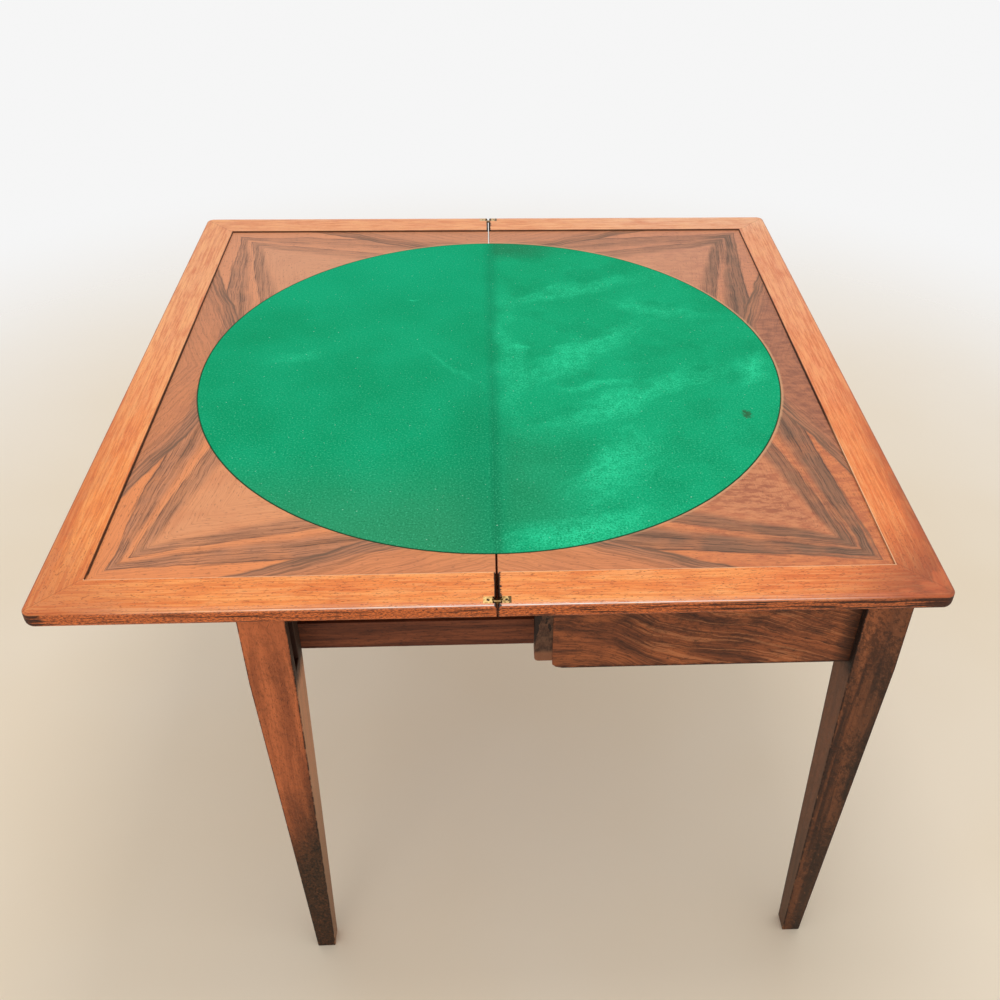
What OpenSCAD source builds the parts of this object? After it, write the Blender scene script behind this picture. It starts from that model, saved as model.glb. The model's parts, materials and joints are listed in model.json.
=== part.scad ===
// Extending card table: a fold-over top in two leaves on a fixed half frame, with a second
// pair of legs on a frame that slides out to carry the opened leaf.
// X runs from the sliding legs to the fixed legs and Y along the fold. Z is up from the floor,
// with the origin below the middle of the fold. Shown open and pulled out.

/* [Top] */
// Size of the open top across the fold, both leaves together
top_w = 950; // [900:10:1040]
// Size of the top along the fold
top_d = 954; // [930:2:1040]
// Height of the top's rim above the floor
top_h = 730; // [690:5:780]
// Thickness of a leaf at its rim
leaf_t = 22; // [20:1:26]
// Width of the mitred rim moulding
rim_w = 50; // [42:1:56]
// How far the veneered field lies below the rim
field_drop = 2.5; // [2:0.5:4]
// Gap between the two rims at the fold, below their eased arrises
rim_gap = 1.5; // [1:0.1:3]
// Width of the gap at the top, where the fold's arrises are eased away
fold_mouth = 5; // [4.8:0.1:6]
// How far down the fold's eased arrises reach
mouth_h = 5; // [4:0.5:8]
// Gap between the two veneered fields at the fold
field_gap = 2; // [1.5:0.1:3]
// Thickness of the quartered veneer on the field
veneer_t = 1; // [0.8:0.1:1.6]
// Radius of the rim's upper outer arris
upper_r = 3; // [2:0.5:3]
// Radius of the rim's lower outer edge
lower_r = 10; // [6:0.5:10]
// Radius of the top's four corners in plan
corner_r = 11; // [10.5:0.5:20]

/* [Baize] */
// Least width of the veneered field between the round baize and the rim
baize_margin = 31; // [27:1:80]
// Offset of the baize's centre from the middle of the top, along the fold
baize_y = -8; // [-10:1:10]
// Thickness of the baize cloth
baize_t = 1.2; // [0.8:0.1:1.6]

/* [Legs] */
// Width of a leg at its square top
leg_w = 52; // [46:1:60]
// Width of a leg at its foot
foot_w = 25; // [20:1:34]
// Distance from the top's near and far edges in to the legs
side_overhang = 42.5; // [30:0.5:60]
// Distance from the fixed leaf's outer edge in to the fixed legs
end_overhang = 18.5; // [10:0.5:40]
// Distance from the fold in to the sliding legs when the table is closed
back_inset = 10; // [4:1:30]

/* [Frame] */
// How far the sliding frame pulls out
travel = 288; // [240:1:296]
// Height of the aprons
apron_h = 130; // [115:1:150]
// Thickness of an apron's core board
apron_t = 18; // [16:0.5:22]
// Thickness of the crotch veneer facing the aprons
facing_t = 1.5; // [1:0.1:2]
// Distance from a leg's outer face in to an apron's facing
apron_inset = 11; // [8:0.5:14]
// Length of the tongue at the open end of each side apron
tongue_l = 20.5; // [14:0.5:26]
// Height of that tongue
tongue_h = 119; // [90:1:124]
// Thickness of the cross rail at the frame's open end
cross_t = 22; // [18:1:28]
// Thickness of the end rail between the sliding legs
end_rail_t = 20; // [16:1:24]
// Radius eased on a tongue's lower corner
ease_r = 5; // [3:0.5:8]
// Length over which a side apron's lower corner is worn away
ease_l = 12; // [6:1:20]
// Height up to which a side apron's lower corner is worn away
ease_h = 6; // [3:0.5:10]
// Size of a triangular glue block
block_w = 26; // [20:1:34]
// Length of a glue block
block_l = 70; // [40:5:80]
// Size of the block glued into each corner by the fixed legs
corner_block_w = 44; // [30:1:60]

/* [Slides] */
// Thickness of a slider
slider_t = 22; // [20:1:28]
// Height of a slider
slider_h = 70; // [66:1:76]
// How far a slider reaches below the aprons
slider_drop = 3; // [0:0.5:6]
// Depth of the groove along a slider's outer face
groove_d = 9; // [6:0.5:12]
// Height of that groove
groove_h = 18; // [12:0.5:22]
// Height from a slider's lower edge to its groove
groove_z = 40; // [34:1:42]
// Thickness of the two ties between the sliders
tie_t = 20; // [16:1:26]
// Height of the middle tie, which lies below the fold
tie_h = 50; // [36:1:56]
// How far the inner tie stands above the sliders, to stop against the cross rail
stop_rise = 14; // [8:1:22]
// Length of the sliders past the inner tie
slider_tail = 26; // [15:1:40]

/* [Joinery] */
// Thickness of a rail's tenon
tenon_t = 10; // [8:0.5:12]
// Length of a rail's tenon
tenon_l = 18; // [12:0.5:20]
// Shoulder above and below a rail's tenon
tenon_shoulder = 14; // [8:1:20]
// Depth of the housings for cross rail, sliders and tie
housing_d = 6; // [4:0.5:8]

/* [Hinges] */
// Half the distance between a link's two pins
pin_x = 3.6; // [3.5:0.05:3.8]
// Gap left between the leaves when the top is folded
folded_gap = 0.4; // [0.3:0.05:0.6]
// Radius of a hinge pin
pin_r = 0.8; // [0.7:0.05:0.9]
// Distance of a hinge from the end of the fold
hinge_inset = 8; // [8:0.5:12]
// Width of a hinge plate along the fold
plate_w = 10; // [9:0.5:12]
// Distance from the fold to the far end of a hinge plate
plate_reach = 14.4; // [13.5:0.1:18]
// Depth of a hinge plate
plate_h = 6.5; // [6:0.1:8]
// Thickness of the link that joins the two plates
link_t = 2.2; // [1.8:0.1:3.6]
// Radius of a link's round ends
link_r = 1.6; // [1.4:0.05:1.7]
// Distance from the fold to a plate's screw
screw_x = 9.4; // [9:0.1:10.5]
// Radius of a screw's head
screw_head_r = 1.8; // [1.5:0.1:2.1]
// Radius of a screw's shank
screw_r = 1; // [0.8:0.1:1.1]
// Length of a screw
screw_l = 14; // [10:0.5:16]

/* [Clearances] */
// Gap between the frame's tops and the folding leaf
leaf_clear = 0.4; // [0.3:0.1:0.8]
// Gap round each moving wooden piece
slide_clear = 0.5; // [0.4:0.1:0.8]
// Room in a notch past the tongue that enters it
notch_clear = 1; // [0.8:0.1:2]
// Radial clearance of a pin in its plate
pin_clear = 0.05; // [0.03:0.01:0.08]
// Gap round a let-in piece
fit_clear = 0.05; // [0.03:0.01:0.1]
// Gap between the baize and the veneer round it
baize_clear = 0.4; // [0.3:0.1:0.8]
// Gap between the baize halves
baize_gap = 1; // [0.8:0.1:1.6]

/* [Hidden] */
$fn = 96;
half_w = top_w / 2;
half_d = top_d / 2;
under_z = top_h - leaf_t;
field_x = half_w - rim_w;
field_y = half_d - rim_w;
field_z = top_h - field_drop;
core_z = field_z - veneer_t;
baize_r = min(field_x, field_y - abs(baize_y)) - baize_margin;
past = 1;

// Frame, on the near side: y runs inwards from the leg's outer face.
leg_y = half_d - side_overhang;
leg_in_y = leg_y - leg_w;
core_y = leg_y - apron_inset - facing_t;
core_in_y = core_y - apron_t;
fixed_x = half_w - end_overhang;
fixed_in_x = fixed_x - leg_w;
open_x = back_inset + leg_w;
apron_z = under_z - apron_h;
leg_square_z = apron_z - slider_drop;
slide_x = back_inset - travel;
slide_in_x = slide_x + leg_w;
slide_top_z = under_z - leaf_clear;
long_core_x = fixed_x - apron_inset - facing_t;
long_in_x = long_core_x - apron_t;
end_rail_x = slide_x + apron_inset;
end_rail_in_x = end_rail_x + end_rail_t;

// Slides.
slider_y = leg_in_y - 2 * slide_clear;
slider_in_y = slider_y - slider_t;
slider_z = apron_z - slider_drop;
slider_top_z = slider_z + slider_h;
groove_low = slider_z + groove_z;
cross_end_x = open_x + cross_t;
stop_x = cross_end_x + slide_clear;
tie_z = slider_z + (slider_h - tie_h) / 2;
slider_end_x = stop_x + tie_t + slider_tail;
notch_z = slider_top_z + slide_clear;
tongue_z = under_z - tongue_h;

// Hinges.
pin_z = top_h - pin_x + folded_gap / 2;
hinge_y = half_d - hinge_inset;
lug_r = pin_r + 0.9;
slot_w = link_t + 4 * fit_clear;
slot_end = pin_x + link_r + 0.3;

leg_colour = [0.55, 0.27, 0.15];
rail_colour = [0.45, 0.22, 0.13];
rim_colour = [0.85, 0.48, 0.28];
veneer_colour = [0.62, 0.34, 0.20];
facing_colour = [0.48, 0.23, 0.12];
inner_colour = [0.70, 0.53, 0.36];
baize_colour = [0.09, 0.55, 0.36];
brass_colour = [0.80, 0.64, 0.30];
steel_colour = [0.45, 0.43, 0.40];

// A box from its low corner to its high corner.
module block(low, high) {
  translate(low)
    cube(high - low);
}

// The same piece on the far side of the table.
module far() {
  mirror([0, 1, 0])
    children();
}

// The same piece in the folding leaf.
module other_leaf() {
  mirror([1, 0, 0])
    children();
}

// Lays an outline drawn in X and Z along Y, from y0 to y1.
module along_y(y0, y1) {
  translate([0, y1, 0])
    rotate([90, 0, 0])
      linear_extrude(y1 - y0)
        children();
}

// Legs

// A leg's side outline: square above, tapered to the foot.
module leg_outline(z1) {
  half = leg_w / 2;
  foot = foot_w / 2;
  polygon([
    [-foot, 0], [foot, 0], [half, leg_square_z], [half, z1],
    [-half, z1], [-half, leg_square_z]
  ]);
}

// A leg with its outer near corner at x, on the near side, up to z1.
module leg(x, z1) {
  translate([x + leg_w / 2, leg_w / 2 - leg_y, 0])
    intersection() {
      along_y(-leg_w, leg_w)
        leg_outline(z1);
      rotate([0, 0, 90])
        along_y(-leg_w, leg_w)
          leg_outline(z1);
    }
}

// The tenon of a side apron, or its mortise with a clearance c.
module side_tenon(c) {
  mid = (core_in_y + core_y) / 2;
  block(
    [fixed_in_x - past, -mid - tenon_t / 2 - c, apron_z + tenon_shoulder - c],
    [fixed_in_x + tenon_l + c, -mid + tenon_t / 2 + c, under_z - tenon_shoulder + c]
  );
}

// The near tenon of a rail between two legs, centred at x mid, or its mortise.
module rail_tenon(mid, c) {
  block(
    [mid - tenon_t / 2 - c, -leg_in_y - tenon_l - c, apron_z + tenon_shoulder - c],
    [mid + tenon_t / 2 + c, -leg_in_y + past, under_z - tenon_shoulder + c]
  );
}

module fixed_leg() {
  color(leg_colour)
    difference() {
      leg(fixed_in_x, under_z);
      side_tenon(fit_clear);
      rail_tenon((long_core_x + long_in_x) / 2, fit_clear);
    }
}

// A sliding leg, notched so that the apron's tongue can enter it when the table closes.
module sliding_leg() {
  color(leg_colour)
    difference() {
      leg(slide_x, slide_top_z);
      rail_tenon((end_rail_x + end_rail_in_x) / 2, fit_clear);
      block(
        [slide_in_x - tongue_l - notch_clear, -core_y - notch_clear, tongue_z - 6 * notch_clear],
        [slide_in_x + past, -core_in_y + notch_clear, top_h]
      );
    }
}

module near_fixed_leg() { fixed_leg(); }
module far_fixed_leg() { far() fixed_leg(); }
module near_sliding_leg() { sliding_leg(); }
module far_sliding_leg() { far() sliding_leg(); }

// Aprons and rails

// A square corner filled round to radius r, to be cut from a lower corner at the origin.
module corner_cut(r) {
  difference() {
    translate([-past, -past])
      square(r + past);
    translate([r, r])
      circle(r);
  }
}

// The core of a side apron, with a tongue at its open end and a tenon at the other.
module side_apron() {
  color(rail_colour)
    difference() {
      union() {
        along_y(-core_y, -core_in_y)
          difference() {
            union() {
              translate([open_x, apron_z])
                square([fixed_in_x - open_x, apron_h]);
              translate([open_x - tongue_l, tongue_z])
                square([tongue_l + past, tongue_h]);
            }
            translate([open_x - tongue_l, tongue_z])
              corner_cut(ease_r);
            apron_easing();
          }
        side_tenon(0);
      }
      cross_end(fit_clear);
    }
}

// The veneer on a side apron, which leaves the tongue bare.
module side_facing() {
  color(facing_colour)
    along_y(-core_y - facing_t, -core_y)
      difference() {
        translate([open_x, apron_z])
          square([fixed_in_x - open_x, apron_h]);
        apron_easing();
      }
}

// What a side apron's lower corner loses at its open end.
module apron_easing() {
  translate([open_x, apron_z])
    polygon([
      [-past, -past], [ease_l, -past], [ease_l, 0], [ease_l / 3, ease_h / 3], [0, ease_h],
      [-past, ease_h]
    ]);
}

// The end of the cross rail that is housed in a side apron.
module cross_end(c) {
  block(
    [open_x - c, -core_in_y - housing_d - c, notch_z - c],
    [open_x + cross_t + c, -core_in_y + past, under_z + c]
  );
}

module near_apron() { side_apron(); }
module far_apron() { far() side_apron(); }
module near_apron_facing() { side_facing(); }
module far_apron_facing() { far() side_facing(); }

module long_apron() {
  mid = (long_core_x + long_in_x) / 2;
  color(rail_colour)
    union() {
      block([long_in_x, -leg_in_y, apron_z], [long_core_x, leg_in_y, under_z]);
      rail_tenon(mid, 0);
      far()
        rail_tenon(mid, 0);
    }
}

module long_apron_facing() {
  color(facing_colour)
    block([long_core_x, -leg_in_y, apron_z], [long_core_x + facing_t, leg_in_y, under_z]);
}

// The cross rail at the frame's open end, above the sliders and their middle tie.
module cross_rail() {
  color(inner_colour)
    block(
      [open_x, -core_in_y - housing_d, notch_z],
      [cross_end_x, core_in_y + housing_d, under_z]
    );
}

// Slides

// A guide on the inner face of a side apron, with a lip that runs in the slider's groove.
module guide() {
  color(inner_colour)
    union() {
      block(
        [open_x, -core_in_y, apron_z],
        [fixed_in_x, -slider_y - slide_clear, slider_top_z - past]
      );
      block(
        [open_x, -core_in_y, groove_low + slide_clear],
        [fixed_in_x, -slider_y + groove_d - slide_clear, groove_low + groove_h - slide_clear]
      );
    }
}

// A slider, housed in the end rail and grooved along its outer face.
module slider() {
  color(rail_colour)
    difference() {
      block(
        [end_rail_in_x - housing_d, -slider_y, slider_z],
        [slider_end_x, -slider_in_y, slider_top_z]
      );
      block(
        [open_x - travel - notch_clear, -slider_y - past, groove_low],
        [slider_end_x + past, -slider_y + groove_d, groove_low + groove_h]
      );
      tie(-tie_t / 2, tie_z + tie_h, fit_clear);
      tie(stop_x, slider_top_z + stop_rise, fit_clear);
    }
}

// A tie from x on, up to z1 and housed in both sliders, or the room it takes with a clearance c.
module tie(x, z1, c) {
  block(
    [x - c, -slider_in_y - housing_d - c, tie_z - c],
    [x + tie_t + c, slider_in_y + housing_d + c, z1 + c]
  );
}

module near_guide() { guide(); }
module far_guide() { far() guide(); }
module near_slider() { slider(); }
module far_slider() { far() slider(); }

// The ties keep the sliders apart; the inner one stops against the cross rail when pulled out.
module slider_tie() {
  color(inner_colour) {
    tie(-tie_t / 2, tie_z + tie_h, 0);
    tie(stop_x, slider_top_z + stop_rise, 0);
  }
}

// The housing in the end rail for the near slider.
module slider_housing() {
  block(
    [end_rail_in_x - housing_d - fit_clear, -slider_y - fit_clear, slider_z - past],
    [end_rail_in_x + past, -slider_in_y + fit_clear, slider_top_z + fit_clear]
  );
}

module end_rail() {
  mid = (end_rail_x + end_rail_in_x) / 2;
  color(rail_colour)
    difference() {
      union() {
        block([end_rail_x, -leg_in_y, apron_z], [end_rail_in_x, leg_in_y, slide_top_z]);
        rail_tenon(mid, 0);
        far()
          rail_tenon(mid, 0);
      }
      slider_housing();
      far()
        slider_housing();
    }
}

// Glue blocks

// A three-sided block, its right angle at the origin, w along X and down Z, l along Y.
module glue_block(w, l) {
  along_y(-l / 2, l / 2)
    polygon([[0, 0], [w, 0], [0, -w]]);
}

// A corner block above the slider, between a fixed leg and the long apron.
module corner_block() {
  color(inner_colour)
    translate([long_in_x, -leg_in_y, notch_z])
      linear_extrude(under_z - notch_z)
        polygon([[0, 0], [0, corner_block_w], [-corner_block_w, 0]]);
}

module near_corner_block() { corner_block(); }
module far_corner_block() { far() corner_block(); }

// Two blocks on each side apron and two on the long apron, all under the fixed leaf.
module glue_blocks() {
  side_run = fixed_in_x - cross_end_x;
  color(inner_colour) {
    for (s = [0, 1])
      mirror([0, s, 0])
        for (k = [0.3, 0.75])
          translate([cross_end_x + k * side_run, -core_in_y, under_z])
            rotate([0, 0, 90])
              glue_block(block_w, block_l);
    for (s = [-1, 1])
      translate([long_in_x, s * leg_in_y / 2, under_z])
        mirror([1, 0, 0])
          glue_block(block_w, block_l);
  }
}

// Top

// The rim moulding in section: x inwards from its outer face, y up from its underside.
module rim_section() {
  difference() {
    square([rim_w, leaf_t]);
    corner_cut(lower_r);
    translate([0, leaf_t])
      mirror([0, 1])
        corner_cut(upper_r);
  }
}

// What the top's corner loses where the rim's section turns round it.
module corner_waste() {
  translate([half_w - corner_r, corner_r - half_d, under_z])
    difference() {
      block([0, -corner_r - past, -past], [corner_r + past, 0, leaf_t + past]);
      rotate_extrude()
        intersection() {
          square([corner_r, leaf_t]);
          translate([corner_r, 0])
            mirror([1, 0])
              rim_section();
        }
    }
}

// The outer rim runs along the fold's direction and is mitred at both ends.
module outer_rim() {
  color(rim_colour)
    difference() {
      intersection() {
        translate([half_w, 0, under_z])
          mirror([1, 0, 0])
            along_y(-half_d, half_d)
              rim_section();
        translate([0, 0, under_z])
          linear_extrude(leaf_t)
            polygon([
              [field_x, -field_y], [half_w, -half_d], [half_w, half_d], [field_x, field_y]
            ]);
      }
      corner_waste();
      far()
        corner_waste();
    }
}

// What the near rim's arris at the fold loses, so that it clears its twin as the leaf folds.
module fold_easing() {
  along_y(-half_d - past, -field_y + past)
    polygon([
      [0, top_h - mouth_h], [rim_gap / 2, top_h - mouth_h], [fold_mouth / 2, top_h],
      [fold_mouth / 2, top_h + past], [0, top_h + past]
    ]);
}

// The near rim runs from the fold to its mitre, and takes half of a hinge.
module side_rim() {
  color(rim_colour)
    difference() {
      intersection() {
        translate([rim_gap / 2, -half_d, under_z])
          rotate([90, 0, 90])
            linear_extrude(half_w - rim_gap / 2)
              rim_section();
        translate([0, 0, under_z])
          linear_extrude(leaf_t)
            polygon([
              [0, -half_d], [half_w, -half_d], [field_x, -field_y], [0, -field_y]
            ]);
      }
      corner_waste();
      fold_easing();
      plate_body(fit_clear);
      screw_shank(fit_clear);
    }
}

// A leaf's core board, veneered above.
module core_board() {
  color(inner_colour)
    block([field_gap / 2, -field_y, under_z], [field_x, field_y, core_z]);
}

// The round opening in the field for the baize.
module baize_opening() {
  translate([0, baize_y, core_z - past])
    cylinder(r = baize_r, h = veneer_t + 2 * past);
}

// One piece of the quartered veneer, drawn as a triangle to the middle of the top.
module veneer_piece(corners) {
  color(veneer_colour)
    difference() {
      intersection() {
        translate([0, 0, core_z])
          linear_extrude(veneer_t)
            polygon(corners);
        block([field_gap / 2, -half_d, core_z - past], [half_w, half_d, field_z + past]);
      }
      baize_opening();
    }
}

module outer_veneer() { veneer_piece([[0, 0], [field_x, -field_y], [field_x, field_y]]); }
module side_veneer() { veneer_piece([[0, 0], [0, -field_y], [field_x, -field_y]]); }
module far_side_veneer() { veneer_piece([[0, 0], [field_x, field_y], [0, field_y]]); }

// Half of the baize, as a thin board of cloth on the core.
module baize_half() {
  color(baize_colour)
    intersection() {
      translate([0, baize_y, core_z])
        cylinder(r = baize_r - baize_clear, h = baize_t);
      block([baize_gap / 2, -half_d, core_z - past], [half_w, half_d, core_z + baize_t + past]);
    }
}

module fixed_core() { core_board(); }
module leaf_core() { other_leaf() core_board(); }
module fixed_outer_rim() { outer_rim(); }
module leaf_outer_rim() { other_leaf() outer_rim(); }
module fixed_near_rim() { side_rim(); }
module fixed_far_rim() { far() side_rim(); }
module leaf_near_rim() { other_leaf() side_rim(); }
module leaf_far_rim() { other_leaf() far() side_rim(); }
module fixed_outer_veneer() { outer_veneer(); }
module leaf_outer_veneer() { other_leaf() outer_veneer(); }
module fixed_near_veneer() { side_veneer(); }
module fixed_far_veneer() { far_side_veneer(); }
module leaf_near_veneer() { other_leaf() side_veneer(); }
module leaf_far_veneer() { other_leaf() far_side_veneer(); }
module fixed_baize() { baize_half(); }
module leaf_baize() { other_leaf() baize_half(); }

// Hinges

// A cylinder along the fold through the near hinge, at x and the pins' height.
module hinge_round(x, r, w) {
  translate([x, -hinge_y - w / 2, pin_z])
    rotate([-90, 0, 0])
      cylinder(r = r, h = w);
}

// A plate's body from the pin outwards, or its recess in the rim with a clearance c.
module plate_body(c) {
  block(
    [pin_x - (c > 0 ? pin_x : 0), -hinge_y - plate_w / 2 - c, top_h - plate_h - c],
    [plate_reach + c, -hinge_y + plate_w / 2 + c, top_h + (c > 0 ? past : 0)]
  );
}

// A hinge plate let into the rim, with a slotted lug for the link and its pin.
module hinge_plate() {
  color(brass_colour)
    difference() {
      union() {
        plate_body(0);
        hinge_round(pin_x, lug_r, plate_w);
      }
      block(
        [0, -hinge_y - slot_w / 2, top_h - plate_h - past],
        [slot_end, -hinge_y + slot_w / 2, top_h + past]
      );
      hinge_round(pin_x, pin_r + pin_clear, plate_w + 2 * past);
      screw_shank(fit_clear);
      screw_head(fit_clear);
    }
}

// A screw's shank, or the hole for it.
module screw_shank(c) {
  translate([screw_x, -hinge_y, top_h - screw_l - c])
    cylinder(r = screw_r + c, h = screw_l - screw_r);
}

// A screw's countersunk head, or its seat.
module screw_head(c) {
  translate([screw_x, -hinge_y, top_h - screw_head_r])
    cylinder(r1 = screw_r + c, r2 = screw_head_r + c, h = screw_head_r - screw_r);
  translate([screw_x, -hinge_y, top_h - screw_r])
    cylinder(r = screw_head_r + c, h = screw_r + (c > 0 ? past : 0));
}

module hinge_screw() {
  color(steel_colour)
    union() {
      screw_shank(0);
      screw_head(0);
    }
}

// The link lies across the fold and turns on a pin at each end.
module link() {
  color(brass_colour)
    difference() {
      union() {
        for (s = [-1, 1])
          hinge_round(s * pin_x, link_r, link_t);
        block(
          [-pin_x, -hinge_y - link_t / 2, pin_z - link_r],
          [pin_x, -hinge_y + link_t / 2, pin_z + link_r]
        );
      }
      for (s = [-1, 1])
        hinge_round(s * pin_x, pin_r, link_t + 2 * past);
    }
}

module pins() {
  color(steel_colour)
    for (s = [-1, 1])
      hinge_round(s * pin_x, pin_r, plate_w - 8 * fit_clear);
}

module near_fixed_plate() { hinge_plate(); }
module far_fixed_plate() { far() hinge_plate(); }
module near_leaf_plate() { other_leaf() hinge_plate(); }
module far_leaf_plate() { other_leaf() far() hinge_plate(); }
module near_fixed_screw() { hinge_screw(); }
module far_fixed_screw() { far() hinge_screw(); }
module near_leaf_screw() { other_leaf() hinge_screw(); }
module far_leaf_screw() { other_leaf() far() hinge_screw(); }
module near_link() { link(); }
module far_link() { far() link(); }
module near_pins() { pins(); }
module far_pins() { far() pins(); }

near_fixed_leg();
far_fixed_leg();
near_apron();
near_apron_facing();
far_apron();
far_apron_facing();
long_apron();
long_apron_facing();
cross_rail();
near_guide();
far_guide();
near_corner_block();
far_corner_block();
glue_blocks();
fixed_core();
fixed_outer_rim();
fixed_near_rim();
fixed_far_rim();
fixed_outer_veneer();
fixed_near_veneer();
fixed_far_veneer();
fixed_baize();
near_fixed_plate();
far_fixed_plate();
near_fixed_screw();
far_fixed_screw();
near_sliding_leg();
far_sliding_leg();
end_rail();
near_slider();
far_slider();
slider_tie();
leaf_core();
leaf_outer_rim();
leaf_near_rim();
leaf_far_rim();
leaf_outer_veneer();
leaf_near_veneer();
leaf_far_veneer();
leaf_baize();
near_leaf_plate();
far_leaf_plate();
near_leaf_screw();
far_leaf_screw();
near_link();
near_pins();
far_link();
far_pins();
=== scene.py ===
"""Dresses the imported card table: finishes, eased arrises, baize, floor, light and camera."""
import json
import math

import bmesh
import bpy
from mathutils import Matrix, Vector


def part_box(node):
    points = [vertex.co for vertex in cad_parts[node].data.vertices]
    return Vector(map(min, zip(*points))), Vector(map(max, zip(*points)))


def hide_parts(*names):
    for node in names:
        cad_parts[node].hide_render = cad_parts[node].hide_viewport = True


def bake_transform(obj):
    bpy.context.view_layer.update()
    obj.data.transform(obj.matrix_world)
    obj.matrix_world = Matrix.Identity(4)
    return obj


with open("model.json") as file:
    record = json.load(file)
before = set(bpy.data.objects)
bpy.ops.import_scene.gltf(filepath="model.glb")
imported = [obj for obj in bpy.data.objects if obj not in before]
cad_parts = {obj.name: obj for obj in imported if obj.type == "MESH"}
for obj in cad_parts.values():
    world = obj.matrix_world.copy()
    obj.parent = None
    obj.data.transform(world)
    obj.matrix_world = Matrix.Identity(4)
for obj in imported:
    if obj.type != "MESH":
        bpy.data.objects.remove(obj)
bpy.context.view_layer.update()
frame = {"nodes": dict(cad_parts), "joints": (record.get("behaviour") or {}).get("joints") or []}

nodes = frame["nodes"]
MM = 0.001


def box_mm(node):
    """A CAD node's lowest and highest corner, in millimetres."""
    low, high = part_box(node)
    return low / MM, high / MM


# Sizes of the table, in millimetres, from the frame.
rim_low, rim_high = box_mm("fixed_outer_rim")
HALF_W = rim_high.x
HALF_D = rim_high.y
TOP_Z = rim_high.z
UNDER_Z = rim_low.z
veneer_high = box_mm("fixed_outer_veneer")[1]
FIELD_X = veneer_high.x
FIELD_Y = veneer_high.y
FIELD_Z = veneer_high.z
cloth_low, cloth_high = box_mm("fixed_baize")
BAIZE_R = cloth_high.x
BAIZE_Y = (cloth_low.y + cloth_high.y) / 2
CLOTH_Z = cloth_high.z
CORE_Z = cloth_low.z
apron_low, apron_high = box_mm("near_apron_facing")
leg_low, leg_high = box_mm("near_sliding_leg")
LEG_W = leg_high.x - leg_low.x
LEG_Y = -(leg_low.y + leg_high.y) / 2
LEG_MIDDLES = ((leg_low.x + leg_high.x) / 2, box_mm("near_fixed_leg")[1].x - LEG_W / 2)
# As built: the legs' foot width, the height where their taper starts, and the notch in the
# sliding legs, from its sill up; and the underside and inner side of the aprons' tongues.
FOOT_W = 25
SQUARE_Z = 575
NOTCH_Z = 582
NOTCH_HALF_W = 15.5
NOTCH_DEPTH = 23
TONGUE_Z = 600
TONGUE_Y = 400
PIN = Vector(next(j for j in frame["joints"] if j["name"] == "near_link_turn")["pos_m"]) / MM
screw_low, screw_high = box_mm("far_fixed_screw")
SCREW_X = (screw_low.x + screw_high.x) / 2
HINGE_Y = (screw_low.y + screw_high.y) / 2


# Marks on the baize. Of a streak: middle x and y, angle in degrees, half length,
# half width, strength.
DUSTY_STREAKS = (
    (125, 25, 41, 150, 36, 0.60),
    (185, -95, 31, 170, 34, 0.60),
    (145, -240, 55, 100, 46, 0.66),
    (95, -362, 14, 115, 34, 0.80),
    (24, 20, 91, 200, 22, 0.38),
    (40, 45, 0, 18, 10, 0.60),
    (145, -60, 12, 80, 13, 0.50),
    (356, -20, 65, 60, 24, 0.70),
    (130, 215, 20, 150, 26, 0.50),
    (240, 150, -20, 90, 24, 0.45),
    (-55, -14, -54, 95, 6, 0.25),
    (-270, 25, 20, 50, 18, 0.30),
    (-116, 184, 5, 12, 4, 0.70),
)
BURN = (325, -133)
# The name under which each point of the cloth keeps the place where it lies flat.
FLAT_PLACE = "flat_place"
# The cloth's rows along the fold, its columns beyond the pins, and its height over the core.
CLOTH_ROWS = 96
CLOTH_COLUMNS = 48
GLUE = 0.02


def srgb(r, g, b):
    """A colour as it is seen on a screen, from 0 to 255, in the shaders' linear scale."""

    def linear(c):
        """One part of the colour."""
        c = c / 255
        return c / 12.92 if c <= 0.04045 else ((c + 0.055) / 1.055) ** 2.4
    return (linear(r), linear(g), linear(b), 1.0)


class Value:
    """A number that a shader works out at each point of a surface, with plain arithmetic."""

    def __init__(self, finish, socket):
        self.finish = finish
        self.socket = socket

    def __add__(self, other):
        return self.finish.math("ADD", self, other)

    __radd__ = __add__

    def __sub__(self, other):
        return self.finish.math("SUBTRACT", self, other)

    def __rsub__(self, other):
        return self.finish.math("SUBTRACT", other, self)

    def __mul__(self, other):
        return self.finish.math("MULTIPLY", self, other)

    __rmul__ = __mul__

    def __truediv__(self, other):
        return self.finish.math("DIVIDE", self, other)

    def __abs__(self):
        return self.finish.math("ABSOLUTE", self)


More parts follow.
